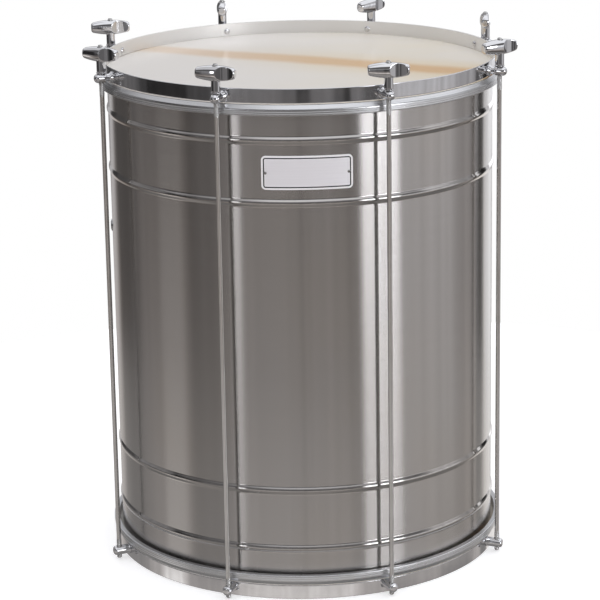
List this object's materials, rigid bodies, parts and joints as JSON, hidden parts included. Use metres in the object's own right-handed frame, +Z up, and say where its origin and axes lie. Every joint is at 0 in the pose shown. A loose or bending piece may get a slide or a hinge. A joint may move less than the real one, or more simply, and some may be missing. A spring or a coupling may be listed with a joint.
{
  "type": "surdo",
  "caption": "Two-headed bass drum: beaded sheet-metal shell, flesh rings and flat hoops drawn together by outside rods with two-lobed hand nuts.",
  "frame": {"origin": "on the drum's axis, in the plane of the bottom hoop's lower edge, which the drum stands on", "axes": "+Z up along the drum's axis, -Y to the front with the badge plate, +X to the drum's right as seen from the front"},
  "size_m": [0.5037, 0.4925, 0.6285],
  "materials": {
    "shell_steel": "finely brushed round the drum, satin",
    "hoop_chrome": "mirror bright",
    "ring_aluminium": "bright anodised extrusion",
    "skin": "cream, slightly stained film",
    "plate_aluminium": "satin",
    "rivet_steel": "satin",
    "vent_chrome": "bright plated",
    "post_chrome": "bright plated",
    "rod_zinc": "bright zinc plate on drawn wire with rolled threads",
    "nut_chrome": "bright plated casting"
  },
  "bodies": {
    "drum": {"shell": "shell_steel", "top_hoop": "hoop_chrome", "bottom_hoop": "hoop_chrome", "top_skin": "skin", "bottom_skin": "skin", "top_flesh_ring": "ring_aluminium", "bottom_flesh_ring": "ring_aluminium", "badge_plate": "plate_aluminium", "badge_rivet_1": "rivet_steel", "badge_rivet_2": "rivet_steel", "vent_eyelet": "vent_chrome", "lower_post_1": "post_chrome", "upper_post_1": "post_chrome", "tension_rod_1": "rod_zinc", "lower_post_2": "post_chrome", "upper_post_2": "post_chrome", "tension_rod_2": "rod_zinc", "lower_post_3": "post_chrome", "upper_post_3": "post_chrome", "tension_rod_3": "rod_zinc", "lower_post_4": "post_chrome", "upper_post_4": "post_chrome", "tension_rod_4": "rod_zinc", "lower_post_5": "post_chrome", "upper_post_5": "post_chrome", "tension_rod_5": "rod_zinc", "lower_post_6": "post_chrome", "upper_post_6": "post_chrome", "tension_rod_6": "rod_zinc", "lower_post_7": "post_chrome", "upper_post_7": "post_chrome", "tension_rod_7": "rod_zinc", "lower_post_8": "post_chrome", "upper_post_8": "post_chrome", "tension_rod_8": "rod_zinc"},
    "washer_body_1": {"washer_1": "nut_chrome"},
    "nut_body_1": {"hand_nut_1": "nut_chrome"},
    "washer_body_2": {"washer_2": "nut_chrome"},
    "nut_body_2": {"hand_nut_2": "nut_chrome"},
    "washer_body_3": {"washer_3": "nut_chrome"},
    "nut_body_3": {"hand_nut_3": "nut_chrome"},
    "washer_body_4": {"washer_4": "nut_chrome"},
    "nut_body_4": {"hand_nut_4": "nut_chrome"},
    "washer_body_5": {"washer_5": "nut_chrome"},
    "nut_body_5": {"hand_nut_5": "nut_chrome"},
    "washer_body_6": {"washer_6": "nut_chrome"},
    "nut_body_6": {"hand_nut_6": "nut_chrome"},
    "washer_body_7": {"washer_7": "nut_chrome"},
    "nut_body_7": {"hand_nut_7": "nut_chrome"},
    "washer_body_8": {"washer_8": "nut_chrome"},
    "nut_body_8": {"hand_nut_8": "nut_chrome"}
  },
  "joints": [
    {"name": "nut_lift_1", "type": "slide", "parent": "drum", "child": "washer_body_1", "axis": [0, 0, 1], "range_m": [0, 0.01175]},
    {"name": "nut_turn_1", "type": "hinge", "parent": "washer_body_1", "child": "nut_body_1", "pos_m": [0.09483, -0.22894, 0.6], "axis": [0, 0, 1], "range_deg": [0, 4230]},
    {"name": "nut_lift_2", "type": "slide", "parent": "drum", "child": "washer_body_2", "axis": [0, 0, 1], "range_m": [0, 0.01175]},
    {"name": "nut_turn_2", "type": "hinge", "parent": "washer_body_2", "child": "nut_body_2", "pos_m": [0.22894, -0.09483, 0.6], "axis": [0, 0, 1], "range_deg": [0, 4230]},
    {"name": "nut_lift_3", "type": "slide", "parent": "drum", "child": "washer_body_3", "axis": [0, 0, 1], "range_m": [0, 0.01175]},
    {"name": "nut_turn_3", "type": "hinge", "parent": "washer_body_3", "child": "nut_body_3", "pos_m": [0.22894, 0.09483, 0.6], "axis": [0, 0, 1], "range_deg": [0, 4230]},
    {"name": "nut_lift_4", "type": "slide", "parent": "drum", "child": "washer_body_4", "axis": [0, 0, 1], "range_m": [0, 0.01175]},
    {"name": "nut_turn_4", "type": "hinge", "parent": "washer_body_4", "child": "nut_body_4", "pos_m": [0.09483, 0.22894, 0.6], "axis": [0, 0, 1], "range_deg": [0, 4230]},
    {"name": "nut_lift_5", "type": "slide", "parent": "drum", "child": "washer_body_5", "axis": [0, 0, 1], "range_m": [0, 0.01175]},
    {"name": "nut_turn_5", "type": "hinge", "parent": "washer_body_5", "child": "nut_body_5", "pos_m": [-0.09483, 0.22894, 0.6], "axis": [0, 0, 1], "range_deg": [0, 4230]},
    {"name": "nut_lift_6", "type": "slide", "parent": "drum", "child": "washer_body_6", "axis": [0, 0, 1], "range_m": [0, 0.01175]},
    {"name": "nut_turn_6", "type": "hinge", "parent": "washer_body_6", "child": "nut_body_6", "pos_m": [-0.22894, 0.09483, 0.6], "axis": [0, 0, 1], "range_deg": [0, 4230]},
    {"name": "nut_lift_7", "type": "slide", "parent": "drum", "child": "washer_body_7", "axis": [0, 0, 1], "range_m": [0, 0.01175]},
    {"name": "nut_turn_7", "type": "hinge", "parent": "washer_body_7", "child": "nut_body_7", "pos_m": [-0.22894, -0.09483, 0.6], "axis": [0, 0, 1], "range_deg": [0, 4230]},
    {"name": "nut_lift_8", "type": "slide", "parent": "drum", "child": "washer_body_8", "axis": [0, 0, 1], "range_m": [0, 0.01175]},
    {"name": "nut_turn_8", "type": "hinge", "parent": "washer_body_8", "child": "nut_body_8", "pos_m": [-0.09483, -0.22894, 0.6], "axis": [0, 0, 1], "range_deg": [0, 4230]}
  ],
  "couplings": [
    {"joint": "nut_lift_1", "follows": "nut_turn_1", "m_per_rad": 0.00015915},
    {"joint": "nut_lift_2", "follows": "nut_turn_2", "m_per_rad": 0.00015915},
    {"joint": "nut_lift_3", "follows": "nut_turn_3", "m_per_rad": 0.00015915},
    {"joint": "nut_lift_4", "follows": "nut_turn_4", "m_per_rad": 0.00015915},
    {"joint": "nut_lift_5", "follows": "nut_turn_5", "m_per_rad": 0.00015915},
    {"joint": "nut_lift_6", "follows": "nut_turn_6", "m_per_rad": 0.00015915},
    {"joint": "nut_lift_7", "follows": "nut_turn_7", "m_per_rad": 0.00015915},
    {"joint": "nut_lift_8", "follows": "nut_turn_8", "m_per_rad": 0.00015915}
  ]
}
